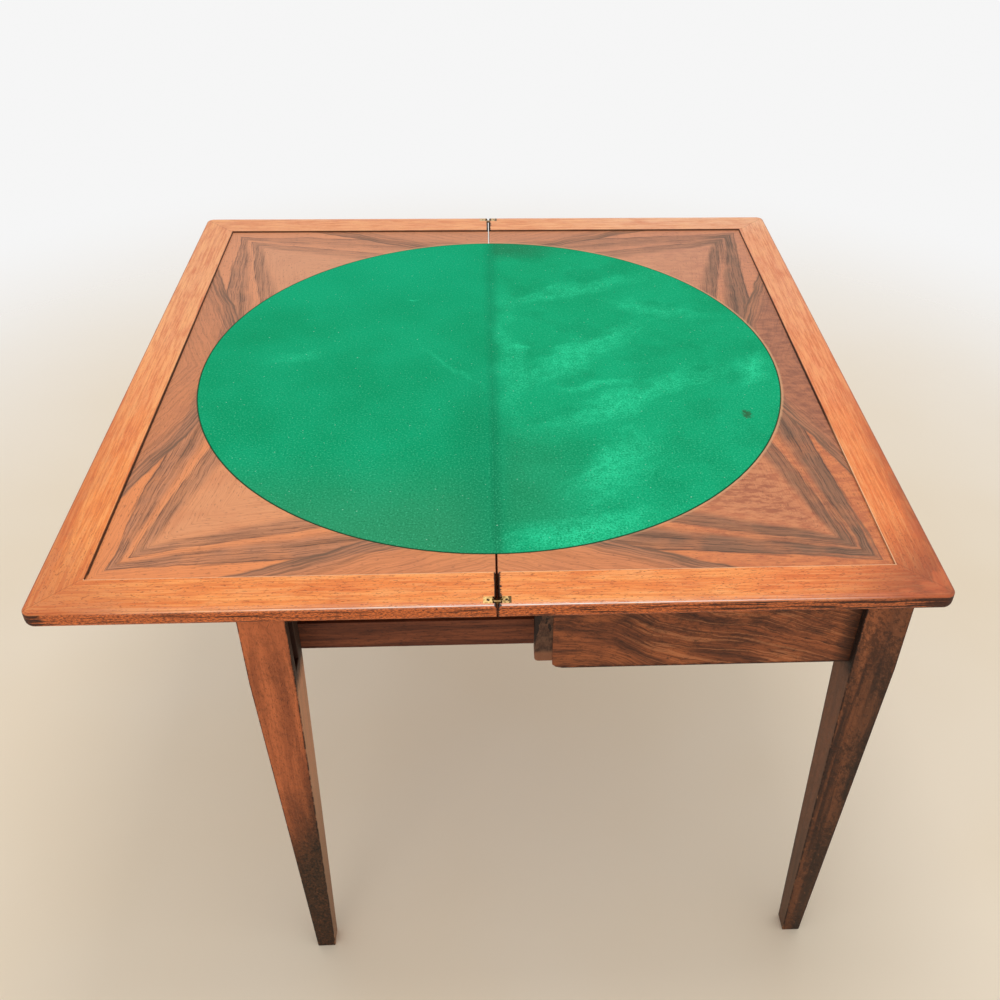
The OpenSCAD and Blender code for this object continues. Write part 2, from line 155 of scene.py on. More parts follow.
class Finish:
    """A procedural material. Its places are in millimetres of the frame at rest."""

    def __init__(self, name, **settings):
        self.material = bpy.data.materials.new(name)
        self.material.use_nodes = True
        self.tree = self.material.node_tree
        self.shader = self.tree.nodes["Principled BSDF"]
        for key, value in settings.items():
            self.shader.inputs[key.replace("_", " ")].default_value = value
        self.coordinates = self.tree.nodes.new("ShaderNodeTexCoord")

    def put(self, socket, value):
        """Links a value to a socket, or writes a plain number there."""
        if isinstance(value, Value):
            self.tree.links.new(value.socket, socket)
        else:
            socket.default_value = value

    def parts(self, vector):
        """A vector's x, y and z."""
        split = self.tree.nodes.new("ShaderNodeSeparateXYZ")
        self.tree.links.new(vector, split.inputs[0])
        return [Value(self, out) for out in split.outputs]

    def place(self):
        """The point's x, y and z."""
        scale = self.tree.nodes.new("ShaderNodeVectorMath")
        scale.operation = "SCALE"
        self.tree.links.new(self.coordinates.outputs["Object"], scale.inputs[0])
        scale.inputs["Scale"].default_value = 1 / MM
        return self.parts(scale.outputs[0])

    def flat_place(self):
        """The point's x and y as the cloth lies flat, which stay the same where it bends."""
        flat = self.tree.nodes.new("ShaderNodeAttribute")
        flat.attribute_name = FLAT_PLACE
        return self.parts(flat.outputs["Vector"])[:2]

    def math(self, operation, a, b=0.0, c=0.0):
        """A sum or function of one to three values."""
        node = self.tree.nodes.new("ShaderNodeMath")
        node.operation = operation
        for socket, value in zip(node.inputs, (a, b, c)):
            self.put(socket, value)
        return Value(self, node.outputs[0])

    def vector(self, x, y, z):
        """A vector from three values."""
        node = self.tree.nodes.new("ShaderNodeCombineXYZ")
        for socket, value in zip(node.inputs, (x, y, z)):
            self.put(socket, value)
        return Value(self, node.outputs[0])

    def noise(self, x, y, z, detail=2.0, roughness=0.5):
        """Smooth noise from 0 to 1, about 0.5, that changes over lengths of 1."""
        node = self.tree.nodes.new("ShaderNodeTexNoise")
        self.put(node.inputs["Vector"], self.vector(x, y, z))
        node.inputs["Scale"].default_value = 1.0
        node.inputs["Detail"].default_value = detail
        node.inputs["Roughness"].default_value = roughness
        return Value(self, node.outputs["Fac"])

    def step(self, value, low, high):
        """0 below low, 1 above high and smooth between them; low may be the larger one."""
        node = self.tree.nodes.new("ShaderNodeMapRange")
        node.interpolation_type = "SMOOTHSTEP"
        for name, number in (("Value", value), ("From Min", low), ("From Max", high)):
            self.put(node.inputs[name], number)
        return Value(self, node.outputs["Result"])

    def mix(self, share, a, b):
        """Colour a where share is 0 and b where it is 1."""
        node = self.tree.nodes.new("ShaderNodeMix")
        node.data_type = "RGBA"
        for socket, value in ((0, share), (6, a), (7, b)):
            self.put(node.inputs[socket], value)
        return Value(self, node.outputs[2])

    def finish(self, colour, roughness=None, height=None):
        """Sets the colour, and the roughness and the relief's height in millimetres if given."""
        self.put(self.shader.inputs["Base Color"], colour)
        if roughness is not None:
            self.put(self.shader.inputs["Roughness"], roughness)
        if height is not None:
            bump = self.tree.nodes.new("ShaderNodeBump")
            bump.inputs["Distance"].default_value = MM
            bump.inputs["Strength"].default_value = 1.0
            self.put(bump.inputs["Height"], height)
            self.tree.links.new(bump.outputs[0], self.shader.inputs["Normal"])
        return self.material


def grain(f, along, a, b, wander=40.0, width=12.0):
    """A board's broad figure, its fibre and its short dark ticks, each from 0 to 1."""
    drift = (f.noise(along / 260, a / 110, b / 110) - 0.5) * wander
    broad = f.noise(along / 300, (a + drift) / width, (b + drift) / width, detail=3)
    fibre = f.noise(along / 34, (a + drift) / 2.2, (b + drift) / 2.2, detail=4, roughness=0.75)
    ticks = f.step(f.noise(along / 4, a / 1.3, b / 1.3, detail=3), 0.57, 0.68)
    return broad, fibre, ticks


def rim_wood(name, turned):
    """The orange polished walnut of the rims, its grain along x or, turned, along y."""
    f = Finish(name, Specular_IOR_Level=0.3)
    x, y, z = f.place()
    along, across = (y, x) if turned else (x, y)
    broad, fibre, ticks = grain(f, along, across, z, wander=14, width=10)
    colour = f.mix(f.step(broad, 0.32, 0.68), srgb(242, 136, 64), srgb(255, 162, 86))
    # The right side is redder; the far side is painted paler, a painted reflection.
    drift = (f.noise(x / 110, y / 110, z / 110) - 0.5) * 420
    colour = f.mix(f.step(x + drift, 60, 470) * 0.50, colour, srgb(228, 112, 64))
    colour = f.mix(f.step(y + drift * 0.6, -330, 300) * 0.42, colour, srgb(232, 186, 152))
    colour = f.mix(f.step(y, 380, 470) * f.step(x, 0, 300) * 0.35, colour, srgb(250, 214, 178))
    colour = f.mix(f.step(fibre, 0.50, 0.66) * 0.36, colour, srgb(180, 84, 40))
    colour = f.mix(f.step(fibre, 0.46, 0.32) * 0.24, colour, srgb(255, 186, 116))
    cloudy = f.noise(along / 60, across / 22, z / 22, detail=5, roughness=0.65)
    colour = f.mix(f.step(cloudy, 0.50, 0.66) * 0.32, colour, srgb(204, 100, 54))
    colour = f.mix(f.step(cloudy, 0.50, 0.34) * 0.20, colour, srgb(255, 188, 124))
    veins = f.noise(along / 46 + 9.0, across / 2.3, z / 2.3, detail=3, roughness=0.6)
    colour = f.mix(f.step(veins, 0.51, 0.60) * 0.40, colour, srgb(204, 98, 44))
    colour = f.mix(f.step(veins, 0.47, 0.38) * 0.26, colour, srgb(255, 186, 120))
    colour = f.mix(ticks * (0.16 + f.step(y, -300, -430) * 0.44), colour, srgb(130, 60, 27))
    # Hands have darkened the near corners and the sides; the mitres show as fine dark lines.
    from_side = HALF_W - abs(x)
    from_end = HALF_D - abs(y)
    outer = f.math("MINIMUM", from_side, from_end)
    handled = f.step(from_side + from_end + (cloudy - 0.5) * 120, 190, 30) * f.step(y, -200, -400)
    shaded = f.step(from_side + (cloudy - 0.5) * 60, 26, 0) * f.step(y, 60, -360)
    to_right = f.step(x, 200, 440)
    brown = f.mix(to_right * f.step(cloudy, 0.40, 0.54), srgb(176, 82, 48), srgb(128, 62, 42))
    colour = f.mix(f.math("MAXIMUM", handled, shaded) * (0.48 + to_right * 0.26), colour, brown)
    colour = f.mix(f.step(abs(from_side - from_end), 1.0, 0.3) * 0.30, colour, srgb(96, 46, 26))
    # Painted shade where the rim meets the field, and a painted highlight at the near and right
    # side.
    within = f.math("MAXIMUM", abs(x) - FIELD_X, abs(y) - FIELD_Y)
    ragged = f.noise(x / 8, y / 8, z / 3, detail=3)
    line = f.step(within + ragged * 0.6, 1.4, 0.5)
    near = f.step(y, -FIELD_Y + 1.5, -FIELD_Y + 0.5)
    right = f.step(x, FIELD_X - 1.5, FIELD_X - 0.5) * f.step(y, -120, -220)
    pale = f.math("MAXIMUM", near, right)
    colour = f.mix(line * pale * 0.7, colour, srgb(255, 212, 166))
    foot_z = FIELD_Z + 2.2 - f.step(y, 0, 200) * 0.8
    foot = f.step(z, foot_z, foot_z - 1.2) * f.step(within, 0.5, 0.1)
    # The dark line and the foot of the inner face are painted shade.
    dirt = f.math("MAXIMUM", line * (1 - pale) * 0.85, foot * (0.9 - right * 0.3))
    colour = f.mix(dirt, colour, srgb(34, 18, 10))
    # The outer edge is golden and speckled, grimy most of all to the right, and darker at corners,
    # partly painted shade.
    right_end = f.step(x, 60, 400)
    edge = f.step(z + right_end * 0.9, TOP_Z - 1.3, TOP_Z - 2.5) * f.step(outer, 30, 24)
    speckle = f.noise(along / 4, across / 3, z / 1.3, detail=4, roughness=0.75)
    streaks = f.noise(along / 70, 6.0, z / 2.6, detail=4, roughness=0.65)
    corner = f.step(from_side + from_end, 24 + right_end * 18, 8)
    share = f.step(x, -100, 420) * f.step(y, -200, -440) * 0.07 + corner * 0.16
    golden = f.mix(f.step(speckle, 0.36, 0.64), srgb(240, 126, 58), srgb(146, 66, 32))
    golden = f.mix(right_end * 0.36, golden, srgb(156, 88, 50))
    colour = f.mix(edge, colour, golden)
    colour = f.mix(edge * f.step(speckle, 0.50, 0.60) * 0.7, colour, srgb(84, 40, 18))
    grime_and_shade = f.step(streaks + share, 0.55, 0.62)
    colour = f.mix(edge * grime_and_shade * 0.9, colour, srgb(40, 22, 12))
    # The lower rounding of the edge is painted dark as painted shade.
    low = f.step(z + speckle * 4, UNDER_Z + 8, UNDER_Z + 2) * f.step(outer, 30, 24)
    colour = f.mix(low * 0.75, colour, srgb(56, 28, 14))
    under = f.step(z, UNDER_Z + 0.4, UNDER_Z + 0.1)
    colour = f.mix(under * 0.6, colour, srgb(104, 62, 38))
    # The arris is rubbed smooth, and a thin painted highlight runs along it but for the ends.
    rounded = f.step(z, TOP_Z - 3.6, TOP_Z - 2.4)
    arris = rounded * f.step(outer, 4.0, 2.8) * f.step(abs(x), 440, 340)
    lit = f.step(z, TOP_Z - 1.5, TOP_Z - 1.1) * f.step(z, TOP_Z - 0.4, TOP_Z - 0.8)
    lit = lit * f.step(outer, 4.0, 3.0) * f.step(abs(x - 50), 420, 40)
    colour = f.mix(lit * (0.7 + f.step(fibre, 0.6, 0.4) * 0.3), colour, srgb(255, 252, 248))
    above = f.step(abs(z - TOP_Z + 0.15), 0.14, 0.04) * f.step(outer, 4.0, 3.0)
    colour = f.mix(above * 0.5, colour, srgb(150, 70, 38))
    at_side = f.step(from_side, 2.6, 0.8) * rounded
    colour = f.mix(at_side * 0.55, colour, srgb(112, 58, 34))
    f.put(f.shader.inputs["Specular IOR Level"], 0.3 + arris * 0.5)
    # The ends at the fold are painted black, as painted shade in the gap, ragged and stained, less
    # so down the edge.
    reach = 1.6 + f.step(z, TOP_Z - 5, TOP_Z - 1) * 2.6
    stain = f.step(x, 0, 1) * f.step(fibre, 0.44, 0.60) * 1.8
    gap = f.step(abs(x) + ragged * reach * 0.5 - reach - stain, 0.5, -0.6)
    colour = f.mix(gap * 0.95, colour, srgb(16, 9, 6))
    roughness = 0.44 + fibre * 0.1 - arris * 0.28 + edge * grime_and_shade * 0.2
    uneven = f.noise(x / 40, y / 40, z / 40)
    height = fibre * 0.08 - ticks * 0.08 + uneven * 0.35 - grime_and_shade * edge * 0.3
    return f.finish(colour, roughness, height)


def field_veneer(name):
    """Walnut laid in quarters: dark streaks run out of each corner in a V, clear wood inside it."""
    f = Finish(name, Specular_IOR_Level=0.3)
    x, y, z = f.place()
    # Distance from the corner along the rim, and in from the rim, alike in all quarters.
    from_side = FIELD_X - abs(x)
    from_end = FIELD_Y - abs(y)
    s = f.math("MAXIMUM", from_side, from_end)
    h = f.math("MINIMUM", from_side, from_end)
    wave = (f.noise(x / 80, y / 80, z) - 0.5) * 10
    wave = wave + (f.noise(x / 22, y / 22, z) - 0.5) * 3.2
    # A streak's own coordinate: 0 on the outer edge of the V, 28 where the clear wood starts.
    c = (h + wave - 11 - 0.11 * s) / (1 + 0.0067 * s)
    # The fine lines follow it, but keep their width while the V widens.
    g = c * (1 + 0.0055 * s)
    fine = f.noise(g / 1.7, s / 70, 0.0, detail=4, roughness=0.7)
    lines = f.noise(g / 4.5, s / 200, 4.0, detail=3, roughness=0.6)
    cloud = f.noise(x / 38, y / 38, 7.0, detail=2)
    flame = f.noise(x / 20, y / 9, 15.0, detail=5, roughness=0.7)
    colour = f.mix(f.step(c, 0, 40), srgb(236, 144, 86), srgb(226, 152, 104))
    colour = f.mix(f.step(fine, 0.46, 0.64) * 0.34, colour, srgb(176, 104, 62))
    colour = f.mix(f.step(fine, 0.42, 0.30) * 0.25, colour, srgb(246, 176, 122))
    colour = f.mix(f.step(cloud, 0.45, 0.75) * 0.30, colour, srgb(200, 120, 78))
    # To the right the wood is redder, with a flamed figure, most of it inside the near V.
    drift = (f.noise(x / 90, y / 90, 3.0) - 0.5) * 400
    redder = f.step(x + drift, 0, 360)
    colour = f.mix(redder * (0.26 + f.step(flame, 0.40, 0.62) * 0.42), colour, srgb(166, 84, 56))
    inside = f.step(c, 28, 44) * f.step(x, 60, 220) * f.step(y, 60, -140)
    colour = f.mix(inside * (0.08 + f.step(flame, 0.44, 0.60) * 0.40), colour, srgb(146, 82, 56))
    # The far side is painted paler and greyer, a painted reflection.
    colour = f.mix(f.step(y, -200, 380) * 0.46, colour, srgb(200, 148, 120))
    # Each V has two dark streaks, feathered along their edges; right ones join at the tip.
    edge = c + (fine - 0.5) * 5
    tip = f.step(s, 130, 20)
    first = f.step(edge - tip * 5.5, -2.5, -0.5) * f.step(edge, 15, 9)
    second = f.step(edge, 16, 18.5) * f.step(edge, 31, 24)
    to_right = f.step(x, -60, 250)
    band = f.math("MAXIMUM", first, second * 0.85) * (0.80 + to_right * 0.20)
    filled = f.step(edge, -2.5, -0.5) * f.step(edge, 30, 24) * f.step(s, 200, 80) * to_right
    band = f.math("MAXIMUM", band, filled * (0.45 + f.step(lines, 0.40, 0.55) * 0.45))
    tone = f.mix(f.step(lines, 0.38, 0.62), srgb(184, 126, 94), srgb(114, 84, 64))
    tone = f.mix(to_right * 0.45, tone, srgb(98, 74, 54))
    # The V's arms along the far side are fainter.
    far_arm = f.step(y, 150, 300) * f.step(from_side - from_end, 0, 40)
    band = band * (1 - far_arm * 0.42)
    strength = 0.58 + f.step(cloud, 0.25, 0.6) * 0.32 + to_right * tip * 0.2
    colour = f.mix(band * strength, colour, tone)
    thin = f.step(fine, 0.52, 0.60) * f.step(c, -4, -1) * f.step(c, 34, 27)
    colour = f.mix(thin * (0.15 + band * (0.50 + tip * 0.2)), colour, srgb(62, 44, 35))
    brim = f.step(abs(c + 1.2 - tip * 5.5), 1.4, 0.2) + f.step(abs(c - 17.5), 1.2, 0.2)
    colour = f.mix(brim * f.step(fine, 0.40, 0.55) * 0.55, colour, srgb(84, 58, 46))
    # Another dark figure rises from the rim towards the middle of each side.
    start = 52 + f.step(x, -10, 10) * 10
    t = 0.38 * s - h - start + (f.noise(x / 50, y / 50, 11.0) - 0.5) * 14
    rays = f.noise(t / 3.4, s / 100, 9.0, detail=4, roughness=0.65)
    deep = f.mix(f.step(rays, 0.42, 0.62), srgb(196, 128, 90), srgb(114, 82, 60))
    fall = 0.36 + 0.56 * f.step(t, 42, 2)
    colour = f.mix(f.step(t, -2.0, 2.0) * fall, colour, deep)
    wedge = f.step(t, -3.0, 1.0) * f.step(t, 26, 10) * f.step(rays, 0.30, 0.45)
    colour = f.mix(wedge * 0.30, colour, srgb(108, 80, 60))
    brown = f.step(t, 0, 36) * f.step(abs(x), 250, 330) * (0.16 + to_right * 0.38)
    browned = f.mix(f.step(flame, 0.4, 0.6), srgb(158, 100, 76), srgb(116, 72, 58))
    colour = f.mix(brown, colour, browned)
    # Pores, and painted shade against the rim and in the gap at the fold.
    pores = f.step(f.noise(h / 1.7, s / 8, 1.0, detail=2), 0.60, 0.70)
    colour = f.mix(pores * 0.40, colour, srgb(90, 50, 30))
    ragged = f.noise(x / 8, y / 8, 5.0, detail=3)
    right = f.step(x, FIELD_X - 12, FIELD_X - 6) * f.step(y, -120, -220)
    near = f.step(y, 12 - FIELD_Y, 6 - FIELD_Y)
    depth = 0.9 - 0.6 * f.math("MAXIMUM", right, near)
    gap = 2.6 - f.step(y, 0, 200) * 0.9
    colour = f.mix(f.step(h + ragged, gap, gap - 1.3) * depth, colour, srgb(30, 17, 10))
    colour = f.mix(f.step(abs(x) + ragged, 2.2, 1.4) * 0.85, colour, srgb(24, 14, 8))
    # Next to the cloth the wood is rubbed pale, with a thin dark line of painted shade at the very
    # edge.
    out = f.math("SQRT", x * x + (y - BAIZE_Y) * (y - BAIZE_Y)) - BAIZE_R
    pale = f.step(out + ragged * 3, 6.5, 3.0) * f.step(x + y * 0.6, -260, 200)
    colour = f.mix(pale * 0.65, colour, srgb(222, 170, 124))
    colour = f.mix(f.step(out + ragged * 0.8, 1.5, 0.8) * 0.8, colour, srgb(44, 34, 20))
    height = fine * 0.06 - pores * 0.08 + f.noise(x / 60, y / 60, 0.0) * 0.4
    return f.finish(colour, 0.42 + fine * 0.1, height)


# The inner faces of the sliding and the fixed legs, at the foot and higher up, painted duller and
# paler as painted light.
INNER_LIT_TONES = (
    (srgb(176, 132, 100), srgb(220, 168, 128)),
    (srgb(92, 70, 54), srgb(124, 88, 68)),
)


def leg_wood(name, fixed):
    """A leg's stained wood, grain upright, scuffed and near black towards the foot."""
    f = Finish(name, Specular_IOR_Level=0.2)
    x, y, z = f.place()
    broad, fibre, ticks = grain(f, z, x, y, wander=26, width=9)
    # Distances from the leg's middle, towards the other legs, and half its width here.
    u = LEG_MIDDLES[fixed] - x if fixed else x - LEG_MIDDLES[fixed]
    v = LEG_Y - abs(y)
    half = FOOT_W / 2 + (LEG_W - FOOT_W) / 2 / SQUARE_Z * f.math("MINIMUM", z, SQUARE_Z)
    if fixed:
        light, dark = srgb(136, 80, 48), srgb(62, 37, 24)
    else:
        light, dark = srgb(202, 111, 65), srgb(158, 84, 49)
    colour = f.mix(f.step(broad, 0.34, 0.68), dark, light)
    colour = f.mix(f.step(fibre, 0.46, 0.70) * 0.40, colour, srgb(84, 42, 22))
    colour = f.mix(ticks * 0.45, colour, srgb(48, 26, 15))
    worn = f.noise(x / 7, y / 7, z / 12, detail=6, roughness=0.8)
    wear = f.noise(x / 40, y / 40, z / 110, detail=3)
    speck = f.noise(x / 3.4, y / 3.4, z / 5, detail=4, roughness=0.8)
    if fixed:
        # The top is painted lighter as painted light, and the outer side and the foot greyer.
        colour = f.mix(f.step(z, 540, 680) * 0.55, colour, srgb(186, 106, 62))
        grey = f.step(u + (worn - 0.5) * 24, 12, -14) * 0.45 + f.step(z, 320, 60) * 0.38
        colour = f.mix(grey, colour, srgb(62, 45, 33))
    else:
        # The top is painted lighter as painted light, and soot-like dirt climbs from the foot.
        colour = f.mix(f.step(z, 560, 700) * 0.5, colour, srgb(222, 122, 72))
        low = f.step(z + (worn - 0.5) * 110 + (wear - 0.5) * 90 - u * 2.2, 430, 220)
        soot = f.mix(f.step(speck, 0.40, 0.62), srgb(62, 45, 28), srgb(34, 25, 15))
        soot = f.mix(f.step(z, 200, 20) * 0.5, soot, srgb(36, 27, 15))
        colour = f.mix(low * (0.88 + f.step(speck, 0.4, 0.6) * 0.12), colour, soot)
    # Scuffs, some dark and some rubbed to the bare wood, a few fine scratches and stains.
    slant_x = z * 0.4 + x
    slant_y = z * 0.4 + y
    scuffs = f.noise(slant_x / 6, slant_y / 6, z / 15, detail=6, roughness=0.8)
    dark_scuffs = f.step(scuffs * 0.6 + wear * 0.25 + speck * 0.25, 0.53, 0.63)
    colour = f.mix(dark_scuffs * (0.62 if fixed else 0.24), colour, srgb(38, 26, 18))
    rubs = f.step(scuffs * 0.5 + speck * 0.5, 0.45, 0.36)
    colour = f.mix(rubs * (0.50 if fixed else 0.22), colour, srgb(160, 104, 70))
    scratch = f.noise((z * 0.9 + x + y) / 22, (z * 0.4 - x - y) / 1.3, 8.0, detail=1)
    scratches = f.step(scratch, 0.68, 0.74) * f.step(wear, 0.44, 0.56)
    colour = f.mix(scratches * 0.6, colour, srgb(30, 19, 13))
    stains = f.step(wear * 0.5 + worn * 0.5, 0.49, 0.57)
    stains = stains * f.step(u, 6, -10) * f.step(z, 610, 500)
    colour = f.mix(stains * (0.60 if fixed else 0.15), colour, srgb(40, 28, 20))
    # The inner face takes its painted-light tone, with painted shade where it goes up under the top
    # and in the notch.
    inner = f.step(half - u, 0.9, 0.3)
    dull = f.mix(f.step(z, 60, 420), *INNER_LIT_TONES[fixed])
    colour = f.mix(inner * 0.62, colour, dull)
    high = f.step(z + (worn - 0.5) * 40, NOTCH_Z - 37, NOTCH_Z - 2)
    notch = f.step(z, NOTCH_Z - 1, NOTCH_Z + 1)
    notch = notch * f.step(abs(v), NOTCH_HALF_W + 0.3, NOTCH_HALF_W - 0.3)
    notch = notch * f.step(u, half - (NOTCH_DEPTH + 1), half - (NOTCH_DEPTH - 0.5))
    shade = f.math("MAXIMUM", inner * high, 0.0 if fixed else notch)
    colour = f.mix(shade * 0.93, colour, srgb(20, 12, 9))
    # The arrises are dark lines, broken by pale rubs.
    arris = f.step(half - abs(u), 2.2, 0.8) * f.step(half - abs(v), 2.2, 0.8)
    colour = f.mix(arris * f.step(worn, 0.60, 0.46) * 0.9, colour, srgb(34, 20, 13))
    colour = f.mix(arris * f.step(worn, 0.58, 0.66) * 0.5, colour, srgb(200, 134, 90))
    height = fibre * 0.10 - ticks * 0.08 + worn * 0.4 - dark_scuffs * 0.15
    return f.finish(colour, 0.5 + worn * 0.25, height)


def apron_veneer(name):
    """Crotch walnut: arcs sweep over from the open end and run on as long lines."""
    f = Finish(name, Specular_IOR_Level=0.2)
    x, y, z = f.place()
    u = x - apron_low.x
    v = z - apron_low.z
    wave = (f.noise(x / 80, y / 80, z / 50) - 0.5) * 20
    wave = wave + (f.noise(x / 18, y / 18, z / 10) - 0.5) * 2.6
    # Lines start level at the open end, fall more and more, and flatten out again.
    swirl = f.step(u, 60, 120) * f.step(u, 240, 150) * f.step(v, 120, 40)
    c = v + 0.36 * f.math("SQRT", u * u + 60 ** 2) + swirl * 16 + wave
    lines = f.noise(c / 2.4, u / 60, 5.0, detail=5, roughness=0.75)
    bands = f.noise(c / 13, u / 110, 2.0, detail=5, roughness=0.65)
    threads = f.noise(c / 9, u / 260, 12.0, detail=1)
    glow = f.noise(u / 60, v / 34, 21.0, detail=3)
    colour = f.mix(f.step(bands, 0.36, 0.64), srgb(92, 50, 31), srgb(154, 84, 48))
    colour = f.mix(f.step(glow, 0.48, 0.66) * 0.45, colour, srgb(190, 106, 58))
    colour = f.mix(f.step(lines, 0.50, 0.60) * 0.60, colour, srgb(54, 31, 21))
    colour = f.mix(f.step(lines, 0.43, 0.32) * 0.24, colour, srgb(186, 112, 70))
    arcs = f.step(abs(threads - 0.5), 0.034, 0.012) * f.step(u, 50, 120)
    colour = f.mix(arcs * 0.36, colour, srgb(216, 138, 88))
    # Scuffs, pores, dirt along the lower edge, and painted shade beside the leg.
    scuffs = f.noise(x / 7, y / 7, z / 4, detail=6, roughness=0.8)
    colour = f.mix(f.step(scuffs + v * 0.001, 0.53, 0.66) * 0.5, colour, srgb(46, 28, 19))
    ticks = f.step(f.noise(c / 1.7, u / 9, v / 9, detail=2), 0.60, 0.70)
    colour = f.mix(ticks * 0.55, colour, srgb(38, 20, 12))
    ragged = f.noise(x / 9, y / 9, z / 4, detail=3)
    colour = f.mix(f.step(v + ragged * 9, 9, 4) * 0.85, colour, srgb(32, 18, 11))
    shadow = f.step(x, apron_high.x - 26, apron_high.x - 4)
    colour = f.mix(shadow * 0.7, colour, srgb(34, 20, 12))
    return f.finish(colour, 0.5 + lines * 0.12, lines * 0.12 - ticks * 0.1)


def rail_wood(name, turned):
    """Dark reddish boards of the frame and the slide, grain along x or, turned, along y."""
    f = Finish(name, Specular_IOR_Level=0.2)
    x, y, z = f.place()
    along, across = (y, x) if turned else (x, y)
    broad, fibre, ticks = grain(f, along, across, z, wander=20, width=8)
    colour = f.mix(f.step(broad, 0.34, 0.66), srgb(90, 46, 28), srgb(130, 70, 42))
    colour = f.mix(f.step(fibre, 0.46, 0.66) * 0.6, colour, srgb(54, 28, 18))
    colour = f.mix(ticks * 0.5, colour, srgb(34, 18, 12))
    height = fibre * 0.12 - ticks * 0.1
    if not turned:
        # The tongues at the open end are bare, rubbed grey, blackened on one side.
        bare = f.step(abs(y), TONGUE_Y - 2, TONGUE_Y + 2)
        bare = bare * f.step(x, apron_low.x + 0.5, apron_low.x - 0.5)
        rubbed = f.noise(x / 5, y / 5, z / 9, detail=4, roughness=0.7)
        grey = f.mix(f.step(rubbed, 0.3, 0.7), srgb(104, 74, 54), srgb(52, 36, 27))
        colour = f.mix(bare * 0.85, colour, grey)
        blot = f.noise(x / 11, y / 11, z / 26, detail=3) + (apron_low.x - x) * 0.016
        chip = f.step(blot, 0.66, 0.69) * bare * f.step(z, TONGUE_Z + 12, TONGUE_Z + 22)
        colour = f.mix(chip * 0.9, colour, srgb(26, 17, 13))
        tip = f.step(z, TONGUE_Z + 6, TONGUE_Z) * bare
        colour = f.mix(tip * 0.7, colour, srgb(150, 96, 66))
        height = height - chip * 0.4
    return f.finish(colour, 0.5 + fibre * 0.2, height)


def inner_wood(name, turned):
    """Unpolished secondary wood, planed and dusty."""
    f = Finish(name, Specular_IOR_Level=0.2)
    x, y, z = f.place()
    along, across = (y, x) if turned else (x, y)
    broad, fibre, ticks = grain(f, along, across, z, wander=50, width=16)
    colour = f.mix(f.step(broad, 0.32, 0.68), srgb(158, 108, 70), srgb(184, 136, 94))
    bent = across + (broad - 0.5) * 18
    rings = f.noise(along / 240 + 3.0, bent / 5, z / 9, detail=3, roughness=0.7)
    colour = f.mix(f.step(rings, 0.50, 0.60) * 0.55, colour, srgb(120, 76, 48))
    colour = f.mix(f.step(fibre, 0.48, 0.72) * 0.5, colour, srgb(104, 68, 44))
    colour = f.mix(ticks * 0.5, colour, srgb(70, 44, 30))
    dust = f.noise(x / 70, y / 70, z / 70, detail=5, roughness=0.7)
    colour = f.mix(f.step(dust, 0.52, 0.70) * 0.3, colour, srgb(104, 76, 58))
    # The board edges at the fold are painted black, as painted shade in the gap.
    colour = f.mix(f.step(abs(x), 2.5, 1.5) * 0.9, colour, srgb(20, 13, 9))
    return f.finish(colour, 0.75, fibre * 0.18 - ticks * 0.1)


